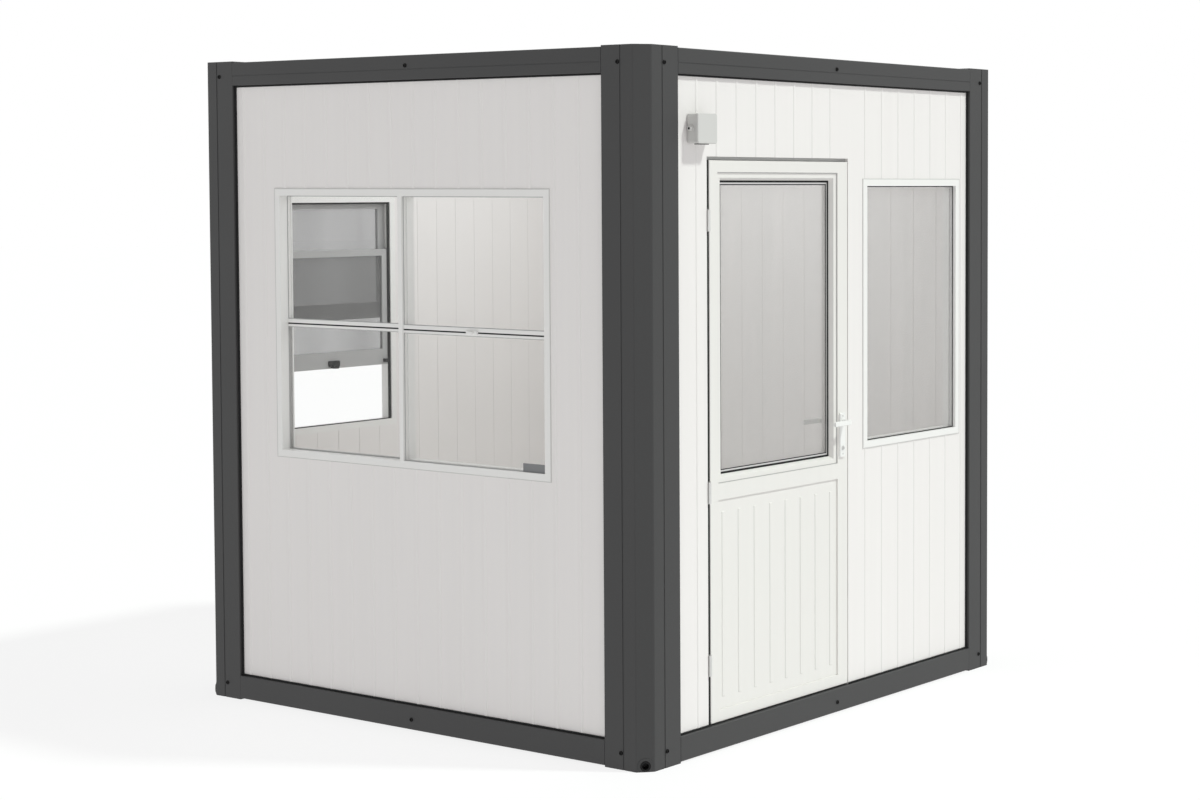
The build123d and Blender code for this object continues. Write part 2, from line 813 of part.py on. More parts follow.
upper_sash, upper_glass = sash(track_top - sash_height, track_top, outer_track)
raised_bottom = track_bottom + sash_opening
raised_sash, raised_glass = sash(raised_bottom, raised_bottom + sash_height, inner_track)
save(upper_sash, "back_window_upper_sash")
save(raised_sash, "back_window_raised_sash")
save(Compound(children=[upper_glass, raised_glass]), "back_window_glass")

# Pull on the raised sash: a bar with a finger lip below it, and a catch on one stile
pull_x = (track_x0 + track_x1) / 2
sash_inner_face = inner_track + sash_thickness
with BuildPart() as sash_pull:
    with BuildSketch(back.offset(-sash_inner_face)):
        with Locations((pull_x, raised_bottom + pull_height / 2 + pull_lip)):
            RectangleRounded(pull_width, pull_height, pull_corner)
    extrude(amount=-pull_depth / 2)
    with BuildSketch(back.offset(-sash_inner_face)):
        with Locations((pull_x, raised_bottom + pull_lip)):
            RectangleRounded(pull_width / 2, pull_lip * 2, pull_lip_corner)
        with Locations((track_x0 + catch_from_track, raised_bottom + catch_height)):
            RectangleRounded(catch_size, catch_size, catch_corner)
    extrude(amount=-pull_depth)
save(sash_pull.part, "back_window_pull_and_catch")

# Junction box on the panel's ribs, with an overlapping lid and a cable gland in its left side
box_back_depth = wall_recess - rib_height
box_top = rail_high_bottom - box_below_rail
box_centre = (box_left + box_width / 2, box_top - box_height / 2)
gland_height_off_wall = (box_depth - box_lid_thickness) / 2 - box_back_depth
gland_plane = Plane(
    origin=front.from_local_coords((box_left + box_lid_overlap, box_centre[1], gland_height_off_wall)),
    x_dir=(0, 1, 0),
    z_dir=(-1, 0, 0),
)
with BuildPart() as junction_box:
    with BuildSketch(front.offset(-box_back_depth)):
        with Locations(box_centre):
            RectangleRounded(box_width - 2 * box_lid_overlap, box_height - 2 * box_lid_overlap, box_corner)
    extrude(amount=box_depth)
    with BuildSketch(front.offset(box_depth - box_back_depth)):
        with Locations(box_centre):
            RectangleRounded(box_width, box_height, box_corner + box_lid_overlap)
    extrude(amount=-box_lid_thickness)
    chamfer(outer_face(junction_box, front).edges(), length=box_lid_bevel)
    with BuildSketch(gland_plane):
        RegularPolygon(gland_nut_radius, 6)
    extrude(amount=gland_nut_thickness)
    with BuildSketch(gland_plane.offset(gland_nut_thickness)):
        Circle(gland_dome_radius)
    extrude(amount=gland_dome_length)
    chamfer(junction_box.faces().sort_by(Axis.X)[0].edges(), length=gland_dome_bevel)
    with BuildSketch(gland_plane.offset(gland_nut_thickness + gland_dome_length)):
        Circle(gland_bore_radius)
    extrude(amount=-gland_bore_depth, mode=Mode.SUBTRACT)
save(junction_box.part, "junction_box")
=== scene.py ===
"""Finishes and small fittings of a security guard booth, laid out as an add-on.

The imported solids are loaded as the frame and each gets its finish. Seals, bolts, screws and the
inner lining's ribs are modelled onto them. Metres, +Z up, and the door faces -Y.
"""

import math

import bpy
from bpy.props import FloatProperty, FloatVectorProperty, IntProperty, PointerProperty
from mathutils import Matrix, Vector


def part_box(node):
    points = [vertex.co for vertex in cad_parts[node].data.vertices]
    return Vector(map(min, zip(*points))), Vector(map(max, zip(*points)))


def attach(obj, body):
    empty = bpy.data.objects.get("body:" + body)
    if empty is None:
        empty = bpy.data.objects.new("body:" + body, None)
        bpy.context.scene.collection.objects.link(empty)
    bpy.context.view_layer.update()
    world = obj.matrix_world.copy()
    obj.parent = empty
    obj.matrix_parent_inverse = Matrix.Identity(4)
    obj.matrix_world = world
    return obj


bl_info = {
    "name": "Guard booth finishes",
    "version": (1, 0, 0),
    "blender": (4, 5, 0),
    "location": "3D View > Sidebar > Booth",
    "description": "Gives the solids of a guard booth their finishes and adds its small fittings",
    "category": "Object",
}

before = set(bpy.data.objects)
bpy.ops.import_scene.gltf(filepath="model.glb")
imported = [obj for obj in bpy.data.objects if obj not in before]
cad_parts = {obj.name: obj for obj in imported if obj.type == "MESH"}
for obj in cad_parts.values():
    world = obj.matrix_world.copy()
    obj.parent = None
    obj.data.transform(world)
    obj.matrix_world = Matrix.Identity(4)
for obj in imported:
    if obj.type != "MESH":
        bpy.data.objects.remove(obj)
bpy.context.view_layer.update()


# Walls and measuring
class Wall:
    """One side of the booth: x runs to the right seen from outside, y up and depth inwards."""

    def __init__(self, corner, along, outward):
        self.corner = Vector(corner)
        self.along = Vector(along)
        self.outward = Vector(outward)

    def point(self, x, y, depth):
        """Place in the frame of a point on or behind the wall."""
        return self.corner + self.along * x + Vector((0, 0, y)) - self.outward * depth

    def read(self, place):
        """Distance along the wall, height, and depth of a place."""
        offset = Vector(place) - self.corner
        return offset.dot(self.along), offset.z, -offset.dot(self.outward)

    def sides(self, node):
        """Left, right, lower and upper side of a node, and the depths of its faces."""
        first, second = (self.read(corner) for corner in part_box(node))
        spans = [sorted(pair) for pair in zip(first, second)]
        return [value for span in spans for value in span]


post_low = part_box("corner_post_front_left")[0]
post_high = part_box("corner_post_back_right")[1]
walls = {
    "front": Wall((post_low.x, post_low.y, 0), (1, 0, 0), (0, -1, 0)),
    "right": Wall((post_high.x, post_low.y, 0), (0, 1, 0), (1, 0, 0)),
    "back": Wall((post_high.x, post_high.y, 0), (-1, 0, 0), (0, 1, 0)),
    "left": Wall((post_low.x, post_high.y, 0), (0, -1, 0), (-1, 0, 0)),
}
booth_width = post_high.x - post_low.x
booth_depth = post_high.y - post_low.y
booth_height = post_high.z
wall_lengths = {"front": booth_width, "right": booth_depth, "back": booth_width, "left": booth_depth}
post_width = walls["front"].sides("corner_post_front_left")[1]
inner_face = walls["right"].sides("right_wall")[5]


def levels(wall, node, axis):
    """Sorted places of a node's corners along one axis of a wall: 0 along, 1 up, 2 in."""
    found = {round(wall.read(vertex.co)[axis], 4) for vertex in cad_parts[node].data.vertices}
    return sorted(found)


# Settings shown in the panel
class BoothColours(bpy.types.PropertyGroup):
    """Colours of the booth's finishes."""

    frame_paint: FloatVectorProperty(
        name="Frame paint", description="Satin paint of posts and rails", subtype="COLOR",
        size=3, default=(0.033, 0.033, 0.0335), min=0, max=1)
    wall_coat: FloatVectorProperty(
        name="Wall coat", description="Coated steel of the wall and ceiling panels", subtype="COLOR",
        size=3, default=(0.838, 0.814, 0.802), min=0, max=1)
    profile_white: FloatVectorProperty(
        name="Profile white", description="Window frames and door frame", subtype="COLOR",
        size=3, default=(0.85, 0.845, 0.83), min=0, max=1)
    door_coat: FloatVectorProperty(
        name="Door coat", description="Coated steel of the door", subtype="COLOR",
        size=3, default=(0.80, 0.785, 0.76), min=0, max=1)
    clear_glass: FloatVectorProperty(
        name="Clear glass", description="Tint of the clear panes", subtype="COLOR",
        size=3, default=(0.80, 0.805, 0.80), min=0, max=1)
    hazy_glass: FloatVectorProperty(
        name="Hazy glass", description="Tint of the panes in the door and the front window",
        subtype="COLOR", size=3, default=(0.45, 0.437, 0.437), min=0, max=1)
    # Painted shade: the back window's panes are tinted dark grey so that they look as dark as the shade
    # seen through them.
    grey_glass: FloatVectorProperty(
        name="Grey glass", description="Tint of the back window's panes", subtype="COLOR",
        size=3, default=(0.22, 0.22, 0.22), min=0, max=1)
    floor_board: FloatVectorProperty(
        name="Floor board", description="Sealed board inside", subtype="COLOR",
        size=3, default=(0.42, 0.375, 0.33), min=0, max=1)
    zinc: FloatVectorProperty(
        name="Zinc", description="Roof sheet", subtype="COLOR",
        size=3, default=(0.60, 0.61, 0.62), min=0, max=1)
    bare_metal: FloatVectorProperty(
        name="Bare metal", description="Threshold, hinges and glazing spacers", subtype="COLOR",
        size=3, default=(0.66, 0.66, 0.65), min=0, max=1)
    handle_white: FloatVectorProperty(
        name="Handle white", description="Coated lever and back plates", subtype="COLOR",
        size=3, default=(0.86, 0.86, 0.845), min=0, max=1)
    rubber: FloatVectorProperty(
        name="Rubber", description="Seals and drains", subtype="COLOR",
        size=3, default=(0.013, 0.013, 0.0135), min=0, max=1)
    box_grey: FloatVectorProperty(
        name="Box grey", description="Junction box", subtype="COLOR",
        size=3, default=(0.62, 0.615, 0.60), min=0, max=1)
    # Painted shade: the back window's sashes are white, and this grey stands for the shade they lie in, lit
    # from behind. The seals that use it have this grey as their own colour.
    sash_grey: FloatVectorProperty(
        name="Sash grey", description="Sashes of the back window", subtype="COLOR",
        size=3, default=(0.44, 0.44, 0.44), min=0, max=1)
    plate_grey: FloatVectorProperty(
        name="Plate grey", description="Small plate in the corner of the left window", subtype="COLOR",
        size=3, default=(0.20, 0.205, 0.21), min=0, max=1)
    black_steel: FloatVectorProperty(
        name="Black steel", description="Bolt heads and the washers of the drains", subtype="COLOR",
        size=3, default=(0.018, 0.018, 0.018), min=0, max=1)


class BoothFittings(bpy.types.PropertyGroup):
    """Sizes of the small fittings."""

    panel_seal_width: FloatProperty(
        name="Panel seal", description="Width of the seal round each wall panel", unit="LENGTH",
        default=0.007)
    panel_seal_height: FloatProperty(
        name="Panel seal height", description="How far the seal stands off the panel", unit="LENGTH",
        default=0.0055)
    glazing_seal_width: FloatProperty(
        name="Glazing seal", description="Width of the seal round each pane", unit="LENGTH", default=0.004)
    # Painted shadow: the line round each window casing is a grey strip that stands for the shadow line
    # where the casing meets the wall panel.
    painted_casing_shadow_width: FloatProperty(
        name="Casing line", description="Width of the sealant line round each window casing",
        unit="LENGTH", default=0.0025)
    glazing_seal_height: FloatProperty(
        name="Glazing seal height", description="How far a seal stands off the glass", unit="LENGTH",
        default=0.002)
    door_seal_width: FloatProperty(
        name="Door seal", description="Width of the seal on the door frame", unit="LENGTH", default=0.012)
    bolt_radius: FloatProperty(
        name="Bolt radius", description="Radius of the bolt heads on the frame", unit="LENGTH",
        default=0.0082)
    bolt_height: FloatProperty(
        name="Bolt height", description="Height of the bolt heads", unit="LENGTH", default=0.004)
    bolt_from_corner: FloatProperty(
        name="Bolt from corner", description="From a corner of the booth to the bolts in its post",
        unit="LENGTH", default=0.12)
    bolt_from_end: FloatProperty(
        name="Bolt from end", description="From the foot or top of a post to its bolts", unit="LENGTH",
        default=0.062)
    rail_bolt_from_edge: FloatProperty(
        name="Rail bolt from edge", description="From the outer edge of a rail to its middle bolt",
        unit="LENGTH", default=0.045)
    screw_radius: FloatProperty(
        name="Screw radius", description="Radius of the roof screws' washers", unit="LENGTH", default=0.008)
    lining_rib_height: FloatProperty(
        name="Lining rib height", description="Height of the inner lining's ribs", unit="LENGTH",
        default=0.0015)
    lining_rib_width: FloatProperty(
        name="Lining rib width", description="Width of the inner lining's ribs", unit="LENGTH",
        default=0.012)
    lining_rib_pitch: FloatProperty(
        name="Lining rib pitch", description="Distance from rib to rib", unit="LENGTH", default=0.122)
    roof_screw_rows: IntProperty(
        name="Roof screw rows", description="Rows of screws across the roof", default=5, min=2)


class BoothView(bpy.types.PropertyGroup):
    """Camera and light of the stage."""

    camera_place: FloatVectorProperty(
        name="Camera", description="Where the camera stands", subtype="TRANSLATION", size=3,
        default=(-7.6606, -6.6530, 2.1458))
    heading: FloatProperty(
        name="Heading", description="Direction of view, from +X towards +Y", subtype="ANGLE",
        default=math.radians(34.3935))
    tilt: FloatProperty(
        name="Tilt", description="Angle of view above the horizon", subtype="ANGLE",
        default=math.radians(-2.8380))
    lens: FloatProperty(
        name="Lens", description="Focal length in millimetres", default=70.138)
    shift: FloatVectorProperty(
        name="Shift", description="Lens shift to the right and up, as shares of the image width", size=2,
        default=(-0.2333, -0.0833))
    sun_towards: FloatVectorProperty(
        name="Sun", description="Direction towards the sun lamp", subtype="DIRECTION", size=3,
        default=(0.34, -0.60, 0.88))
    sun_strength: FloatProperty(
        name="Sun strength", description="Strength of the sun lamp", default=2.05)
    sun_spread: FloatProperty(
        name="Sun spread", description="Angle of the sun lamp, which softens its shadows", subtype="ANGLE",
        default=math.radians(5))
    sun_tint: FloatVectorProperty(
        name="Sun tint", description="Colour of the sun lamp", subtype="COLOR", size=3,
        default=(0.94, 1.0, 0.95), min=0, max=1)
    room_tint: FloatVectorProperty(
        name="Room tint", description="Colour of the two lamps in the room", subtype="COLOR", size=3,
        default=(0.93, 0.975, 0.98), min=0, max=1)
    sky_strength: FloatProperty(
        name="Sky strength", description="Strength of the light from all round", default=0.41)
    room_light: FloatProperty(
        name="Room light", description="Power of the lamp under the ceiling, in watts", default=14.8)
    low_room_light: FloatProperty(
        name="Low room light", description="Power of the upward lamp over the floor board, in watts",
        default=6.2)
    fill_towards: FloatVectorProperty(
        name="Fill", description="Direction towards the weak fill lamp", subtype="DIRECTION", size=3,
        default=(-1.0, -0.6, 0.3))
    fill_strength: FloatProperty(
        name="Fill strength", description="Strength of the fill lamp", default=0.2)
    fill_spread: FloatProperty(
        name="Fill spread", description="Angle of the fill lamp, wide enough to leave no clear shadow",
        subtype="ANGLE", default=math.radians(70))
    floor_glow: FloatProperty(
        name="Floor glow", description="Brightness that the floor shows in its deepest shadow",
        default=0.825)
    floor_tone: FloatProperty(
        name="Floor tone", description="How much the floor's light and shadow show on top", default=0.19)


# Shader maths
class Signal:
    """Output of a shader node that takes part in Python arithmetic."""

    def __init__(self, surface, socket):
        self.surface = surface
        self.socket = socket

    def maths(self, operation, first, second):
        """Result of a Math node."""
        return self.surface.node("ShaderNodeMath", {"operation": operation}, {0: first, 1: second})

    def __add__(self, other):
        return self.maths("ADD", self, other)

    def __mul__(self, other):
        return self.maths("MULTIPLY", self, other)

    __radd__ = __add__
    __rmul__ = __mul__


class Surface:
    """Node tree of a material or world, filled by Python expressions."""

    def __init__(self, owner):
        owner.use_nodes = True
        self.owner = owner
        self.tree = owner.node_tree

    def put(self, socket, value):
        """Link a signal to a socket, or set the socket's own value."""
        if isinstance(value, Signal):
            self.tree.links.new(value.socket, socket)
        else:
            socket.default_value = value

    def node(self, kind, settings, inputs, output=0):
        """Add a node, apply its settings, fill its sockets and give one of its outputs."""
        made = self.tree.nodes.new(kind)
        for name, value in settings.items():
            setattr(made, name, value)
        for name, value in inputs.items():
            self.put(made.inputs[name], value)
        return Signal(self, made.outputs[output])


class Finish(Surface):
    """Material with one Principled shader."""

    def __init__(self, name, colour, roughness, metallic=0.0):
        super().__init__(bpy.data.materials.new(name))
        self.colour = colour
        self.place = self.node("ShaderNodeTexCoord", {}, {}, "Object")
        self.feed({"Base Color": (*colour, 1), "Roughness": roughness, "Metallic": metallic})

    def feed(self, values):
        """Set or link sockets of the Principled shader."""
        shader = self.tree.nodes["Principled BSDF"]
        for name, value in values.items():
            self.put(shader.inputs[name], value)

    def grain(self, scale, stretch=(1, 1, 1), detail=3.0):
        """Noise from 0 to 1; stretch gives how much finer it is along each axis."""
        place = self.node("ShaderNodeMapping", {}, {"Vector": self.place, "Scale": stretch})
        return self.node(
            "ShaderNodeTexNoise", {}, {"Vector": place, "Scale": scale, "Detail": detail})

    def shade(self, signal, darkest, lightest):
        """Finish's colour, from one multiple of it to another as the signal goes from 0 to 1."""
        low, high = ((*(tone * part for part in self.colour), 1) for tone in (darkest, lightest))
        return self.node(
            "ShaderNodeMix", {"data_type": "RGBA"}, {0: signal, 6: low, 7: high}, output=2)

    def relief(self, height, distance):
        """Normal of a surface with this relief, in metres."""
        return self.node(
            "ShaderNodeBump", {}, {"Height": height, "Distance": distance, "Strength": 1.0})


# Finishes
def coated_steel(name, colour):
    """Coated sheet: a faint orange peel, long roll streaks and broad, weak changes of tone."""
    finish = Finish(name, colour, 0.4)
    broad = finish.grain(1.3)
    streaks = finish.grain(1.0, (34, 34, 0.7))
    peel = finish.grain(620, detail=1.0)
    finish.feed({
        "Base Color": finish.shade(0.5 * broad + 0.5 * streaks, 0.965, 1.03),
        "Roughness": 0.34 + 0.14 * broad,
        "Normal": finish.relief(peel, 0.00012),
    })
    return finish.owner


def satin_paint(name, colour):
    """Thick satin paint: a coarse orange peel, thin spots and a little dust low down."""
    finish = Finish(name, colour, 0.5)
    broad = finish.grain(2.0)
    speckle = finish.grain(260, detail=2.0)
    height = finish.node("ShaderNodeSeparateXYZ", {}, {"Vector": finish.place}, "Z")
    dust = finish.node(
        "ShaderNodeMapRange", {"interpolation_type": "SMOOTHSTEP"},
        {"Value": height, "From Min": 0.0, "From Max": 0.35, "To Min": 1.0, "To Max": 0.0})
    tone = 0.4 * broad + 0.3 * speckle + 0.3 * dust * broad
    finish.feed({
        "Base Color": finish.shade(tone, 0.90, 1.16),
        "Roughness": 0.42 + 0.16 * broad,
        "Normal": finish.relief(speckle, 0.00025),
    })
    return finish.owner


def moulded_plastic(name, colour, roughness):
    """Extruded or moulded plastic: almost even, with a fine matt grain."""
    finish = Finish(name, colour, roughness)
    broad = finish.grain(4.0)
    fine = finish.grain(900, detail=1.0)
    finish.feed({
        "Base Color": finish.shade(broad, 0.975, 1.02),
        "Roughness": roughness - 0.06 + 0.12 * broad,
        "Normal": finish.relief(fine, 0.00006),
    })
    return finish.owner


def glass(name, colour, alpha):
    """Flat glass: a faint film that changes in long vertical wipes."""
    finish = Finish(name, colour, 0.04)
    wipes = finish.grain(1.0, (5, 5, 0.8))
    finish.feed({
        "Base Color": finish.shade(wipes, 0.96, 1.03),
        "Roughness": 0.03 + 0.04 * wipes,
        "Alpha": 0.75 * alpha + 0.5 * alpha * wipes,
    })
    return finish.owner


def brushed_metal(name, colour, stretch, roughness):
    """Metal with fine lines; stretch gives how much finer they are along each axis."""
    finish = Finish(name, colour, roughness, metallic=1.0)
    lines = finish.grain(1.0, stretch, detail=4.0)
    finish.feed({
        "Base Color": finish.shade(lines, 0.88, 1.08),
        "Roughness": roughness - 0.08 + 0.16 * lines,
        "Normal": finish.relief(lines, 0.00008),
    })
    return finish.owner


def zinc_sheet(name, colour):
    """Zinc coated sheet with its crystal pattern."""
    finish = Finish(name, colour, 0.45, metallic=0.7)
    crystals = finish.node(
        "ShaderNodeTexVoronoi", {}, {"Vector": finish.place, "Scale": 46.0}, "Color")
    tone = finish.node("ShaderNodeSeparateColor", {}, {"Color": crystals}, 0)
    finish.feed({
        "Base Color": finish.shade(0.7 * tone + 0.3 * finish.grain(3.0), 0.86, 1.12),
        "Roughness": 0.36 + 0.2 * tone,
    })
    return finish.owner


def sealed_board(name, colour):
    """Plywood with a long grain, under a clear sealer."""
    finish = Finish(name, colour, 0.4)
    figure = finish.grain(1.0, (2.2, 26, 26), detail=6.0)
    pores = finish.grain(1.0, (40, 700, 700), detail=2.0)
    finish.feed({
        "Base Color": finish.shade(0.75 * figure + 0.25 * pores, 0.72, 1.25),
        "Roughness": 0.32 + 0.2 * pores,
        "Normal": finish.relief(pores, 0.00015),
    })
    return finish.owner


def soft_rubber(name, colour):
    """Dull black rubber with a dusty bloom."""
    finish = Finish(name, colour, 0.7)
    bloom = finish.grain(55, detail=4.0)
    finish.feed({
        "Base Color": finish.shade(bloom, 0.7, 1.9),
        "Roughness": 0.6 + 0.25 * bloom,
        "Specular IOR Level": 0.2,
        "Normal": finish.relief(bloom, 0.0001),
    })
    return finish.owner


finishes = {}
corner_names = ("front_left", "front_right", "back_left", "back_right")
frame_nodes = {
    "frame_paint": (
        [f"corner_post_{corner}" for corner in corner_names]
        + [f"{level}_rail_{side}" for level in ("bottom", "top") for side in walls]
        + ["floor_joists"]
    ),
    "wall_coat": [
        "front_wall_beside_hinges", "front_wall_over_door", "front_wall_with_window",
        "left_wall", "back_wall", "right_wall", "ceiling_panel",
    ],
    "profile_white": [
        "door_jamb_hinge_side", "door_jamb_lock_side", "door_head",
        "left_window_frame", "left_window_meeting_rails", "left_window_latch",
        "front_window_frame", "back_window_frame",
    ],
    # The sashes' grey is painted shade: it stands for the shade of white sashes lit from behind.
    "sash_grey": ["back_window_upper_sash", "back_window_raised_sash"],
    "door_white": ["door_leaf", "door_glazing_bead", "door_lower_panel"],
    "clear_glass": ["left_window_panes"],
    "hazy_glass": ["front_window_pane", "door_glass"],
    # The back window's glass is tinted to stand for the shade behind it: painted shade.
    "grey_glass": ["back_window_glass"],
    "floor_board": ["floor_board"],
    "zinc": ["roof_sheet"],
    "aluminium": ["door_threshold"],
    "hinge_steel": ["hinge_frame_halves", "hinge_leaf_halves"],
    "handle_white": ["handle_plates", "lever_handle"],
    "nickel": ["lock_cylinder"],
    "rubber": ["drain_stubs"],
    "black_plastic": ["back_window_pull_and_catch"],
    "box_grey": ["junction_box"],
}


# Modelling helpers
def deselect():
    """Deselect every object, so that the next operator acts on its own piece alone."""
    bpy.ops.object.select_all(action="DESELECT")


def choose(*pieces):
    """Select these pieces alone and make the first active."""
    deselect()
    for piece in pieces:
        piece.select_set(True)
    bpy.context.view_layer.objects.active = pieces[0]


def settle():
    """Move the active piece's place into its mesh."""
    bpy.ops.object.transform_apply(location=True, rotation=True, scale=True)


def smooth():
    """Shade the active piece smooth, except along its sharp edges."""
    bpy.ops.object.shade_smooth_by_angle(angle=math.radians(35))


def start_box(name, wall, sides, depths):
    """Start a piece as a block at its place on a wall."""
    x0, x1, y0, y1 = sides
    near, far = wall.point(x0, y0, depths[0]), wall.point(x1, y1, depths[1])
    deselect()
    bpy.ops.mesh.primitive_cube_add(size=1, location=(near + far) / 2)
    piece = bpy.context.object
    piece.name = name
    piece.scale = [abs(part) for part in far - near]
    settle()
    return piece


def start_disc(vertices, radius, low, high):
    """Start a round piece on the vertical axis of the origin."""
    deselect()
    bpy.ops.mesh.primitive_cylinder_add(
        vertices=vertices, radius=radius, depth=high - low, location=(0, 0, (low + high) / 2))
    settle()
    return bpy.context.object


def select_faces(piece, test):
    """In edit mode, select only the faces that pass a test."""
    bpy.ops.mesh.select_mode(type="FACE")
    bpy.ops.mesh.select_all(action="DESELECT")
    bpy.ops.object.mode_set(mode="OBJECT")
    for face in piece.data.polygons:
        face.select = test(face)
    bpy.ops.object.mode_set(mode="EDIT")


def round_top(face):
    """True for the flat face on top of a round piece."""
    return face.normal.z > 0.99 and len(face.vertices) > 12


def sink(piece, test, rim, move):
    """In edit mode, inset the faces that pass a test by a rim and move them."""
    select_faces(piece, test)
    bpy.ops.mesh.inset(thickness=rim)
    bpy.ops.mesh.extrude_region_move(TRANSFORM_OT_translate={"value": move})


def cut_through(piece, axis, width):
    """Open a piece along an axis, so that a rim of one width stays: both faces inset and bridged."""
    bpy.ops.object.mode_set(mode="EDIT")
    select_faces(piece, lambda face: abs(face.normal.dot(axis)) > 0.9)
    bpy.ops.mesh.inset(thickness=width, use_individual=True)
    bpy.ops.mesh.bridge_edge_loops()
    bpy.ops.mesh.select_all(action="SELECT")
    bpy.ops.mesh.normals_make_consistent(inside=False)
    bpy.ops.object.mode_set(mode="OBJECT")
    return piece


def soften(piece, width, segments=2):
    """Round a piece's edges with an applied bevel."""
    choose(piece)
    bevel = piece.modifiers.new("soften", "BEVEL")
    bevel.width = width
    bevel.segments = segments
    bevel.limit_method = "ANGLE"
    bpy.ops.object.modifier_apply(modifier=bevel.name)
    smooth()


def ring_piece(name, wall, sides, width, depths):
    """Closed frame of one width at its place on a wall."""
    return cut_through(start_box(name, wall, sides, depths), wall.outward, width)


def joined(name, pieces):
    """Join pieces into one and name it."""
    choose(*pieces)
    if len(pieces) > 1:
        bpy.ops.object.join()
    piece = bpy.context.object
    piece.name = name
    piece.data.name = name
    return piece


def bar_piece(name, blocks, rounding, segments=2):
    """One piece from rounded bars; a block gives a bar's wall, sides and depths."""
    bars = [start_box("bar", *block) for block in blocks]
    for bar in bars:
        soften(bar, rounding, segments)
    return joined(name, bars)


def round_head(vertices, radius, low, high, rounding, segments, rim, dip):
    """Head of a bolt or screw: a disc with a rounded edge and a sunk middle."""
    head = start_disc(vertices, radius, low, high)
    bpy.ops.object.mode_set(mode="EDIT")
    select_faces(head, round_top)
    bpy.ops.mesh.bevel(offset=rounding, segments=segments, affect="EDGES")
    sink(head, round_top, rim, (0, 0, -dip))
    bpy.ops.object.mode_set(mode="OBJECT")
    smooth()
    return head


def copies(name, model, places):
    """Copy a model that stands on the origin to each place and direction, as one joined piece."""
    made = []
    for point, direction in places:
        choose(model)
        bpy.ops.object.duplicate()
        copy = bpy.context.object
        copy.location = point
        copy.rotation_euler = Vector(direction).to_track_quat("Z", "Y").to_euler()
        settle()
        made.append(copy)
    bpy.data.objects.remove(model)
    return joined(name, made)


def fit(piece, body, finish):
    """Give a finished piece its material and the body that it rides on."""
    piece.data.materials.clear()
    piece.data.materials.append(finishes[finish])
    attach(piece, body)


def inset_sides(sides, margin):
    """Sides of a rectangle moved in by a margin."""
    x0, x1, y0, y1 = sides
    return x0 + margin, x1 - margin, y0 + margin, y1 - margin


# Operators
class BOOTH_OT_finishes(bpy.types.Operator):
    """Make the materials and give one to every solid of the frame"""

    bl_idname = "booth.finishes"
    bl_label = "Finishes"

    def execute(self, context):
        colours = context.scene.booth_colours
        metal = colours.bare_metal
        for name, make, colour, *settings in (
            ("frame_paint", satin_paint, colours.frame_paint),
            ("wall_coat", coated_steel, colours.wall_coat),
            ("profile_white", moulded_plastic, colours.profile_white, 0.32),
            ("door_white", coated_steel, colours.door_coat),
            ("clear_glass", glass, colours.clear_glass, 0.03),
            ("hazy_glass", glass, colours.hazy_glass, 0.22),
            ("grey_glass", glass, colours.grey_glass, 0.46),
            ("floor_board", sealed_board, colours.floor_board),
            ("zinc", zinc_sheet, colours.zinc),
            ("aluminium", brushed_metal, metal, (3, 600, 600), 0.38),
            ("hinge_steel", brushed_metal, metal, (400, 400, 30), 0.5),
            ("handle_white", moulded_plastic, colours.handle_white, 0.28),
            ("nickel", brushed_metal, metal, (500, 60, 500), 0.28),
            ("rubber", soft_rubber, colours.rubber),
            ("black_plastic", moulded_plastic, colours.rubber, 0.4),
            ("box_grey", moulded_plastic, colours.box_grey, 0.5),
            ("sash_grey", moulded_plastic, colours.sash_grey, 0.4),
            ("plate_grey", moulded_plastic, colours.plate_grey, 0.45),
            ("black_steel", brushed_metal, colours.black_steel, (300, 300, 300), 0.5),
        ):
            finishes[name] = make(name, tuple(colour), *settings)
        for finish, names in frame_nodes.items():
            for name in names:
                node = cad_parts[name]
                if not node.material_slots:
                    node.data.materials.append(None)
                for slot in node.material_slots:
                    slot.material = finishes[finish]
        return {"FINISHED"}


class BOOTH_OT_panel_seals(bpy.types.Operator):
    """Lay a dark seal round every wall panel, against the posts and rails"""

    bl_idname = "booth.panel_seals"
    bl_label = "Panel seals"

    def execute(self, context):
        sizes = context.scene.booth_fittings
        width = sizes.panel_seal_width
        face = levels(walls["right"], "right_wall", 2)[1]
        depths = (face - sizes.panel_seal_height, face)
        rounding = 0.001
        for side in ("left", "back", "right"):
            wall = walls[side]
            sides = wall.sides(f"{side}_wall")[:4]
            piece = ring_piece(f"{side}_panel_seal", wall, sides, width, depths)
            soften(piece, rounding)
            fit(piece, "booth", "rubber")
        wall = walls["front"]
        x0, door_left, y0, y1 = wall.sides("front_wall_beside_hinges")[:4]
        door_right, x1 = wall.sides("front_wall_with_window")[:2]
        bars = (
            (x0, x0 + width, y0, y1),
            (x1 - width, x1, y0, y1),
            (x0 + width, x1 - width, y1 - width, y1),
            (x0 + width, door_left, y0, y0 + width),
            (door_right, x1 - width, y0, y0 + width),
        )
        piece = bar_piece("front_panel_seal", [(wall, bar, depths) for bar in bars], rounding)
        fit(piece, "booth", "rubber")
        return {"FINISHED"}


class BOOTH_OT_frame_bolts(bpy.types.Operator):
    """Put a domed bolt near both ends of each post face and in the middle of each rail"""

    bl_idname = "booth.frame_bolts"
    bl_label = "Frame bolts"

    def execute(self, context):
        sizes = context.scene.booth_fittings
        radius = sizes.bolt_radius
        height = sizes.bolt_height
        model = round_head(
            24, radius, 0, height, rounding=height * 0.6, segments=4, rim=radius * 0.2, dip=height * 0.6)
        places = []
        for side, wall in walls.items():
            length = wall_lengths[side]
            for y in (sizes.bolt_from_end, booth_height - sizes.bolt_from_end):
                for x in (sizes.bolt_from_corner, length - sizes.bolt_from_corner):
                    places.append((wall.point(x, y, 0), wall.outward))
            for y in (sizes.rail_bolt_from_edge, booth_height - sizes.rail_bolt_from_edge):
                places.append((wall.point(length / 2, y, 0), wall.outward))
        fit(copies("frame_bolts", model, places), "booth", "black_steel")
        return {"FINISHED"}


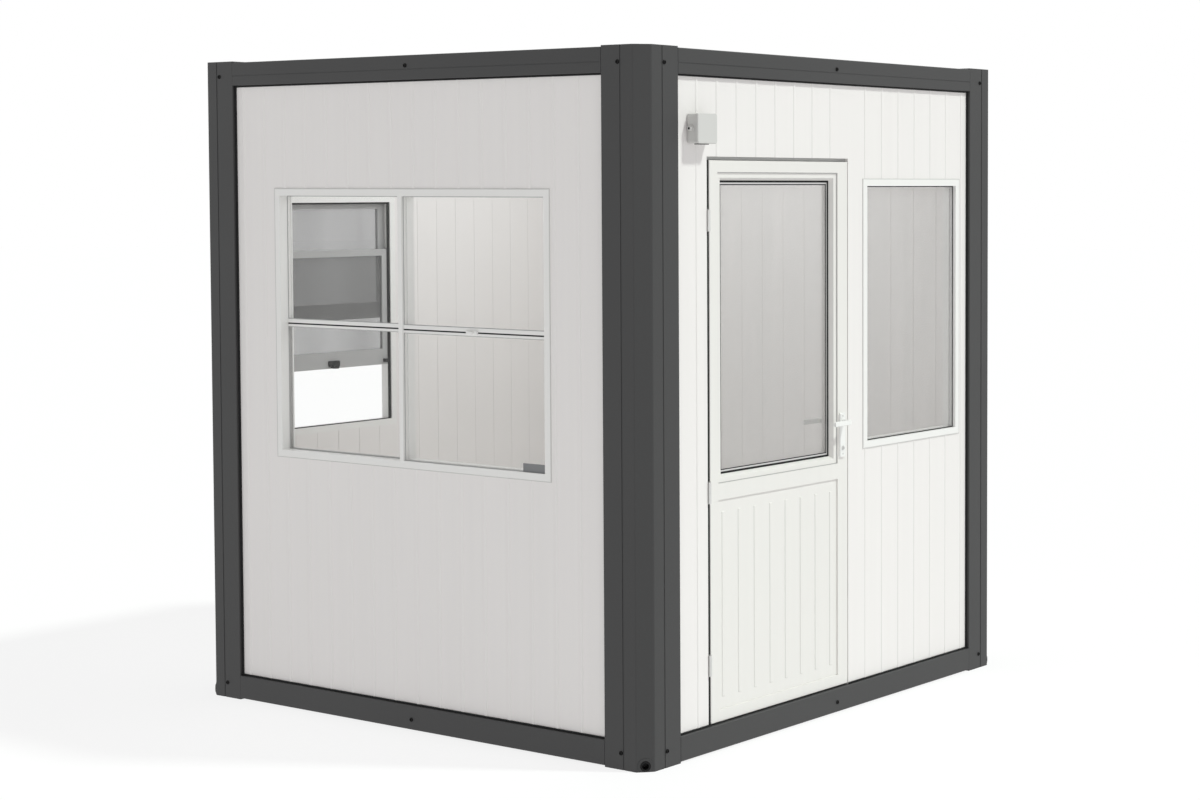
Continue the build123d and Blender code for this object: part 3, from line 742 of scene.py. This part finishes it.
class BOOTH_OT_drain_rims(bpy.types.Operator):
    """Put a painted flange and a black washer round the drain in the foot of each post"""

    bl_idname = "booth.drain_rims"
    bl_label = "Drain rims"

    def execute(self, context):
        drain = [
            vertex.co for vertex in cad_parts["drain_stubs"].data.vertices
            if vertex.co.x < 0 and vertex.co.y < 0
        ]
        heights = [co.z for co in drain]
        middle = (min(heights) + max(heights)) / 2
        radius = (max(heights) - min(heights)) / 2
        chamfer = self.chamfer_reach()
        flange_top, washer_top = 0.0025, 0.0045
        ground = (0, 0, 0.0005)
        for name, width, low, high, finish in (
            ("drain_flanges", 0.012, 0, flange_top, "frame_paint"),
            ("drain_collars", 0.0035, flange_top, washer_top, "black_steel"),
        ):
            places = []
            for x_sign in (-1, 1):
                for y_sign in (-1, 1):
                    outward = Vector((x_sign, y_sign, 0))
                    corner = Vector((x_sign * booth_width / 2, y_sign * booth_depth / 2, middle))
                    places.append((corner - outward * chamfer, outward))
            outer = radius + width
            model = cut_through(start_disc(48, outer, low, high), Vector((0, 0, 1)), outer - radius)
            piece = copies(name, model, places)
            bpy.ops.object.mode_set(mode="EDIT")
            bpy.ops.mesh.select_all(action="SELECT")
            bpy.ops.mesh.bisect(plane_co=ground, plane_no=(0, 0, 1), use_fill=True, clear_inner=True)
            bpy.ops.object.mode_set(mode="OBJECT")
            smooth()
            fit(piece, "booth", finish)
        return {"FINISHED"}

    def chamfer_reach(self):
        """How far the post's chamfer lies back from its corner along each wall."""
        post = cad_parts["corner_post_front_left"]
        reach = [vertex.co.x + vertex.co.y - post_low.x - post_low.y for vertex in post.data.vertices]
        return min(reach) / 2


class BOOTH_OT_pane_seals(bpy.types.Operator):
    """Lay the glazing seals of the left and front windows, and the grey lines round their casings, which
    are painted shadow lines against the wall
    """

    bl_idname = "booth.pane_seals"
    bl_label = "Pane seals"

    def execute(self, context):
        sizes = context.scene.booth_fittings
        width = sizes.glazing_seal_width
        height = sizes.glazing_seal_height
        wall = walls["front"]
        *sides, face, _ = wall.sides("front_window_pane")
        piece = ring_piece("front_window_seal", wall, sides, width, (face - height, face))
        soften(piece, 0.0006)
        fit(piece, "booth", "rubber")
        # The lines round the casings are grey strips that stand for the shadow line against the wall:
        # painted shadow.
        line = sizes.painted_casing_shadow_width
        for side in ("front", "left"):
            *sides, near, _ = walls[side].sides(f"{side}_window_frame")
            piece = ring_piece(
                f"{side}_window_painted_casing_shadow", walls[side], inset_sides(sides, -line), line,
                (near + 0.0004, near + 0.003))
            fit(piece, "booth", "box_grey")
        wall = walls["left"]
        columns = levels(wall, "left_window_panes", 0)
        heights = levels(wall, "left_window_panes", 1)
        faces = levels(wall, "left_window_panes", 2)
        # A meeting rail stands proud of the panes, and its seal lies in the seam along it
        rail_proud, seam_depth, seal_height = 0.005, 0.004, 0.0022
        seal_low, seal_high, end_gap = heights[1] + 0.0095, heights[1] + 0.0145, 0.001
        rings = []
        seals = []
        for (x0, x1), face in ((columns[-2:], faces[0]), (columns[:2], faces[-2])):
            for y0, y1 in (heights[:2], heights[2:]):
                ring = ring_piece("ring", wall, (x0, x1, y0, y1), width * 0.75, (face - height, face))
                soften(ring, 0.0005)
                rings.append(ring)
            depth = face - rail_proud + seam_depth
            sides = (x0 + end_gap, x1 - end_gap, seal_low, seal_high)
            seals.append((wall, sides, (depth - seal_height, depth)))
        fit(joined("left_window_pane_seals", rings), "booth", "sash_grey")
        piece = bar_piece("left_window_meeting_seals", seals, 0.0006)
        fit(piece, "booth", "rubber")
        return {"FINISHED"}


class BOOTH_OT_back_window_seals(bpy.types.Operator):
    """Lay the dark seals round the back window's opening, on the room side of its sashes"""

    bl_idname = "booth.back_window_seals"
    bl_label = "Back window seals"

    def execute(self, context):
        wall = walls["back"]
        x0, x1, _, y1, *_ = wall.sides("back_window_upper_sash")
        casing_bar = 0.028
        y0 = wall.sides("back_window_frame")[2] + casing_bar
        inner = wall.sides("back_window_raised_sash")[5]
        depths = (inner + 0.0005, inner + 0.006)
        side_width, head_width, sill_width = 0.013, 0.008, 0.004
        bars = (
            (x0, x0 + side_width, y0, y1),
            (x1 - side_width, x1, y0, y1),
            (x0 + side_width, x1 - side_width, y1 - head_width, y1),
            (x0 + side_width, x1 - side_width, y0, y0 + sill_width),
        )
        piece = bar_piece("back_window_track_seal", [(wall, bar, depths) for bar in bars], 0.001)
        fit(piece, "booth", "rubber")
        return {"FINISHED"}


class BOOTH_OT_door_seals(bpy.types.Operator):
    """Lay the rings on the door's glass and bead, and the seals between the leaf and its frame"""

    bl_idname = "booth.door_seals"
    bl_label = "Door seals"

    def execute(self, context):
        wall = walls["front"]
        *bead, bead_face, _ = wall.sides("door_glazing_bead")
        pane = wall.sides("door_glass")[4]
        bead_width, seal, spacer, edge_line, bead_line = 0.031, 0.008, 0.006, 0.004, 0.003
        opening = inset_sides(bead, bead_width)
        # Name, sides, width, face that it lies on, height, rounding, slot and finish
        for name, sides, width, face, height, rounding, slot, finish in (
            ("door_glass_seal", opening, seal, pane, 0.002, (0.0008, 2), "black_rubber", "rubber"),
            ("door_glass_spacer", inset_sides(opening, seal), spacer, pane, 0.0004, (0.0001, 1),
             "hinge_metal", "aluminium"),
            ("door_glass_edge_line", inset_sides(opening, seal + spacer), edge_line, pane, 0.0008,
             (0.0003, 1), "black_rubber", "rubber"),
            ("door_bead_line", bead, bead_line, bead_face, 0.0015, (0.0005, 1), "sash_grey", "sash_grey"),
        ):
            piece = ring_piece(name, wall, sides, width, (face - height, face))
            soften(piece, *rounding)
            fit(piece, "door", finish)
        leaf_left, leaf_right = wall.sides("door_leaf")[:2]
        jamb_left, _, low, high, jamb_face, _ = wall.sides("door_jamb_hinge_side")
        jamb_right = wall.sides("door_jamb_lock_side")[1]
        width = context.scene.booth_fittings.door_seal_width
        seal_height, gap = 0.004, 0.001
        depths = (jamb_face - seal_height, jamb_face)
        bars = (
            (jamb_left, jamb_right, high - width, high),
            (leaf_right + gap, jamb_right, low, high - width),
        )
        piece = bar_piece("door_frame_seal", [(wall, bar, depths) for bar in bars], 0.001)
        fit(piece, "booth", "sash_grey")
        # Strips fill the gap beside the leaf from foot to head, but leave the hinges free
        strip_face, strip_in = 0.0175, 0.0002
        between = [low, *self.hinge_spans(wall), high - width]
        strips = [
            (wall, (jamb_left + strip_in, leaf_left - gap, *span), (strip_face, jamb_face))
            for span in zip(between[::2], between[1::2])
        ]
        piece = bar_piece("door_hinge_side_seal", strips, 0.0015)
        fit(piece, "booth", "rubber")
        return {"FINISHED"}

    def hinge_spans(self, wall):
        """Lower and upper end of each hinge, one after the other, with a little play."""
        play, apart = 0.003, 0.3
        heights = sorted(
            levels(wall, "hinge_frame_halves", 1) + levels(wall, "hinge_leaf_halves", 1))
        ends = [heights[0]]
        for low, high in zip(heights, heights[1:]):
            if high - low > apart:
                ends += [low, high]
        ends.append(heights[-1])
        return [end + (play if place % 2 else -play) for place, end in enumerate(ends)]


class BOOTH_OT_window_plate(bpy.types.Operator):
    """Fit the small plain plate in the lower right corner of the left window"""

    bl_idname = "booth.window_plate"
    bl_label = "Window plate"

    def execute(self, context):
        wall = walls["left"]
        right = levels(wall, "left_window_panes", 0)[-1]
        low = levels(wall, "left_window_panes", 1)[0]
        pane = levels(wall, "left_window_panes", 2)[0]
        width, height, thickness, gap = 0.115, 0.032, 0.004, 0.001
        rim, dip = 0.003, 0.001
        sides = (right - gap - width, right - gap, low + gap, low + gap + height)
        piece = start_box("left_window_plate", wall, sides, (pane - thickness, pane))
        bpy.ops.object.mode_set(mode="EDIT")
        sink(piece, lambda face: face.normal.dot(wall.outward) > 0.9, rim, -dip * wall.outward)
        bpy.ops.object.mode_set(mode="OBJECT")
        soften(piece, 0.0006)
        fit(piece, "booth", "plate_grey")
        return {"FINISHED"}


class BOOTH_OT_handle_screws(bpy.types.Operator):
    """Put two screws in each back plate of the door handle"""

    bl_idname = "booth.handle_screws"
    bl_label = "Handle screws"

    def execute(self, context):
        wall = walls["front"]
        x0, x1, y0, y1, near, far = wall.sides("handle_plates")
        middle = (x0 + x1) / 2
        from_end = 0.013
        model = round_head(
            20, 0.0036, -0.0007, 0.0007, rounding=0.0007, segments=2, rim=0.0012, dip=0.0008)
        places = []
        for y in (y0 + from_end, y1 - from_end):
            places.append((wall.point(middle, y, near), wall.outward))
            places.append((wall.point(middle, y, far), -wall.outward))
        fit(copies("handle_plate_screws", model, places), "door", "nickel")
        return {"FINISHED"}


class BOOTH_OT_gland_insert(bpy.types.Operator):
    """Put the rubber insert in the junction box's cable gland, and a seal under the box"""

    bl_idname = "booth.gland_insert"
    bl_label = "Gland insert"

    def execute(self, context):
        wall = walls["front"]
        _, right, low, _, near, _ = wall.sides("junction_box")
        seal_left, seal_right, seal_height = right - 0.108, right - 0.045, 0.003
        seal_front, seal_back = near + 0.004, near + 0.024
        seal = start_box(
            "junction_box_seal", wall, (seal_left, seal_right, low - seal_height, low),
            (seal_front, seal_back))
        soften(seal, 0.001)
        fit(seal, "booth", "rubber")
        gland_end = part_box("junction_box")[0].x
        tip = [
            vertex.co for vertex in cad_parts["junction_box"].data.vertices
            if vertex.co.x < gland_end + 0.0005
        ]
        centre = sum((Vector(co) for co in tip), Vector()) / len(tip)
        model = start_disc(24, 0.0048, -0.006, 0.006)
        bpy.ops.object.mode_set(mode="EDIT")
        sink(model, round_top, 0.0012, (0, 0, -0.004))
        bpy.ops.object.mode_set(mode="OBJECT")
        smooth()
        inwards = 0.0075
        places = [(centre + inwards * wall.along, -wall.along)]
        fit(copies("gland_insert", model, places), "booth", "rubber")
        return {"FINISHED"}


class BOOTH_OT_corner_trims(bpy.types.Operator):
    """Cover the inner sides of the corner posts with folded trims"""

    bl_idname = "booth.corner_trims"
    bl_label = "Corner trims"

    def execute(self, context):
        floor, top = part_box("floor_board")[1].z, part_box("ceiling_panel")[0].z
        overlap, thickness = 0.002, 0.0015
        reach = post_width + overlap
        depths = (inner_face, inner_face + thickness)
        around = list(walls)
        for place, side in enumerate(around):
            before = around[place - 1]
            length = wall_lengths[before]
            legs = [
                (walls[side], (inner_face, reach, floor, top), depths),
                (walls[before], (length - reach, length - depths[1], floor, top), depths),
            ]
            piece = bar_piece(f"corner_trim_{side}_{before}", legs, 0.0005, 1)
            fit(piece, "booth", "wall_coat")
        return {"FINISHED"}


class BOOTH_OT_lining_ribs(bpy.types.Operator):
    """Run upright ribs down the inner faces of the walls, round the doorway and windows"""

    bl_idname = "booth.lining_ribs"
    bl_label = "Lining ribs"

    def execute(self, context):
        sizes = context.scene.booth_fittings
        width = sizes.lining_rib_width
        height = sizes.lining_rib_height
        pitch = sizes.lining_rib_pitch
        shortest = 0.05
        floor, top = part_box("floor_board")[1].z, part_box("ceiling_panel")[0].z
        for side, wall in walls.items():
            openings = self.openings(side)
            ribs = []
            x = post_width + pitch / 2
            while x < wall_lengths[side] - post_width - width:
                cuts = [cut for cut in openings if cut[0] - width < x < cut[1] + width]
                spans = [(floor, cuts[0][2]), (cuts[0][3], top)] if cuts else [(floor, top)]
                for low, high in spans:
                    if high - low > shortest:
                        sides = (x - width / 2, x + width / 2, low, high)
                        ribs.append(start_box("rib", wall, sides, (inner_face, inner_face + height)))
                x += pitch
            piece = joined(f"{side}_lining_ribs", ribs)
            soften(piece, height * 0.8, 1)
            fit(piece, "booth", "wall_coat")
        return {"FINISHED"}

    def openings(self, side):
        """Left, right, lower and upper side of each opening in a wall."""
        wall = walls[side]
        if side == "right":
            return []
        openings = [wall.sides(f"{side}_window_frame")[:4]]
        if side == "front":
            left, _, low, high, *_ = wall.sides("door_jamb_hinge_side")
            openings.append([left, wall.sides("door_jamb_lock_side")[1], low, high])
        return openings


class BOOTH_OT_roof_screws(bpy.types.Operator):
    """Put rows of washered screws along the ribs of the roof sheet"""

    bl_idname = "booth.roof_screws"
    bl_label = "Roof screws"

    def execute(self, context):
        sizes = context.scene.booth_fittings
        low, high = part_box("roof_sheet")
        crest = [
            vertex.co.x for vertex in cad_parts["roof_sheet"].data.vertices
            if vertex.co.z > high.z - 0.0005
        ]
        edges = sorted({round(x, 4) for x in crest})
        rib_middles = [(a + b) / 2 for a, b in zip(edges[::2], edges[1::2])]
        radius = sizes.screw_radius
        washer_height, head_height = 0.002, 0.004
        model = start_disc(16, radius, 0, washer_height)
        bpy.ops.object.mode_set(mode="EDIT")
        sink(model, round_top, radius * 0.45, (0, 0, head_height))
        bpy.ops.mesh.bevel(offset=0.0008, segments=1, affect="EDGES")
        bpy.ops.object.mode_set(mode="OBJECT")
        rows = sizes.roof_screw_rows
        margin = 0.08
        step = (high.y - low.y - 2 * margin) / (rows - 1)
        places = [
            (Vector((x, low.y + margin + row * step, high.z)), (0, 0, 1))
            for x in rib_middles for row in range(rows)
        ]
        fit(copies("roof_screws", model, places), "booth", "hinge_steel")
        return {"FINISHED"}


class BOOTH_OT_stage(bpy.types.Operator):
    """Set up the pale floor, the white background, the lamps and the camera"""

    bl_idname = "booth.stage"
    bl_label = "Stage"

    def execute(self, context):
        view = context.scene.booth_view
        deselect()
        bpy.ops.mesh.primitive_plane_add(size=120)
        floor = bpy.context.object
        floor.name = "floor"
        floor.data.materials.append(self.floor_material(view.floor_glow, view.floor_tone))
        self.light_world(context.scene, view.sky_strength)
        sun = self.far_lamp((4, -4, 7), view.sun_towards, view.sun_strength, view.sun_spread)
        sun.data.color = view.sun_tint
        self.far_lamp((-7, -4, 3), view.fill_towards, view.fill_strength, view.fill_spread)
        gap = 0.03
        self.room_lamp(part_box("ceiling_panel")[0].z - gap, 0, view.room_light, view.room_tint)
        self.room_lamp(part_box("floor_board")[1].z + gap, math.pi, view.low_room_light, view.room_tint)
        bpy.ops.object.camera_add(location=view.camera_place)
        camera = bpy.context.object
        level = math.cos(view.tilt)
        forward = Vector(
            (math.cos(view.heading) * level, math.sin(view.heading) * level, math.sin(view.tilt)))
        camera.rotation_euler = forward.to_track_quat("-Z", "Y").to_euler()
        camera.data.sensor_width = 36
        camera.data.lens = view.lens
        camera.data.shift_x, camera.data.shift_y = view.shift
        context.scene.camera = camera
        context.scene.view_settings.view_transform = "Standard"
        return {"FINISHED"}

    def far_lamp(self, place, towards, strength, spread):
        """Lamp as far off as the sun; its place is only where its symbol stands."""
        bpy.ops.object.light_add(type="SUN", location=place)
        lamp = bpy.context.object
        lamp.data.energy = strength
        lamp.data.angle = spread
        lamp.rotation_euler = Vector(towards).to_track_quat("Z", "Y").to_euler()
        return lamp

    def room_lamp(self, height, turn, power, tint):
        """Wide lamp in the room that can't be seen itself."""
        bpy.ops.object.light_add(type="AREA", location=(0, 0, height), rotation=(turn, 0, 0))
        lamp = bpy.context.object
        lamp.data.size = 1.7
        lamp.data.energy = power
        lamp.data.color = tint
        lamp.visible_camera = False
        lamp.visible_glossy = False
        lamp.visible_transmission = False

    def seen(self, surface):
        """1 for rays that show the background: from the camera, a gloss or a clear pane."""
        light_path = surface.tree.nodes.new("ShaderNodeLightPath")
        camera, gloss, clear = (
            Signal(surface, light_path.outputs[name])
            for name in ("Is Camera Ray", "Is Glossy Ray", "Is Transmission Ray")
        )
        return camera.maths("MAXIMUM", camera.maths("MAXIMUM", camera, gloss), clear)

    def floor_material(self, glow, tone):
        """White floor that glows evenly and keeps a faint shadow."""
        surface = Surface(bpy.data.materials.new("floor"))
        shown = surface.node("ShaderNodeBsdfDiffuse", {}, {"Color": (tone, tone, tone, 1)})
        light = surface.node("ShaderNodeEmission", {}, {"Strength": glow})
        both = surface.node("ShaderNodeAddShader", {}, {0: shown, 1: light})
        surface.put(surface.tree.nodes["Material Output"].inputs["Surface"], both)
        return surface.owner

    def light_world(self, scene, strength):
        """Even light from all round that shows as plain white."""
        scene.world = scene.world or bpy.data.worlds.new("world")
        surface = Surface(scene.world)
        background = surface.tree.nodes["Background"]
        background.inputs["Color"].default_value = (1, 1, 1, 1)
        surface.put(background.inputs["Strength"], strength + (1 - strength) * self.seen(surface))


class BOOTH_PT_panel(bpy.types.Panel):
    """Lists the steps that finish the booth, and their settings"""

    bl_idname = "BOOTH_PT_panel"
    bl_label = "Guard booth"
    bl_space_type = "VIEW_3D"
    bl_region_type = "UI"
    bl_category = "Booth"

    def draw(self, context):
        for step in steps:
            self.layout.operator(step.bl_idname)
        for group in (context.scene.booth_colours, context.scene.booth_fittings, context.scene.booth_view):
            box = self.layout.box()
            for name in group.bl_rna.properties.keys():
                if name not in ("rna_type", "name"):
                    box.prop(group, name)


groups = {
    "booth_colours": BoothColours,
    "booth_fittings": BoothFittings,
    "booth_view": BoothView,
}
steps = [
    BOOTH_OT_finishes,
    BOOTH_OT_panel_seals,
    BOOTH_OT_frame_bolts,
    BOOTH_OT_drain_rims,
    BOOTH_OT_pane_seals,
    BOOTH_OT_back_window_seals,
    BOOTH_OT_door_seals,
    BOOTH_OT_window_plate,
    BOOTH_OT_handle_screws,
    BOOTH_OT_gland_insert,
    BOOTH_OT_corner_trims,
    BOOTH_OT_lining_ribs,
    BOOTH_OT_roof_screws,
    BOOTH_OT_stage,
]


def register():
    """Register the settings, the steps and the panel."""
    for name, group in groups.items():
        bpy.utils.register_class(group)
        setattr(bpy.types.Scene, name, PointerProperty(type=group))
    for step in [*steps, BOOTH_PT_panel]:
        bpy.utils.register_class(step)


def unregister():
    """Take away what register added."""
    for step in [BOOTH_PT_panel, *reversed(steps)]:
        bpy.utils.unregister_class(step)
    for name, group in groups.items():
        delattr(bpy.types.Scene, name)
        bpy.utils.unregister_class(group)


def main():
    """Finish the booth step by step."""
    register()
    for step in steps:
        family, name = step.bl_idname.split(".")
        getattr(getattr(bpy.ops, family), name)()


if __name__ == "__main__":
    main()
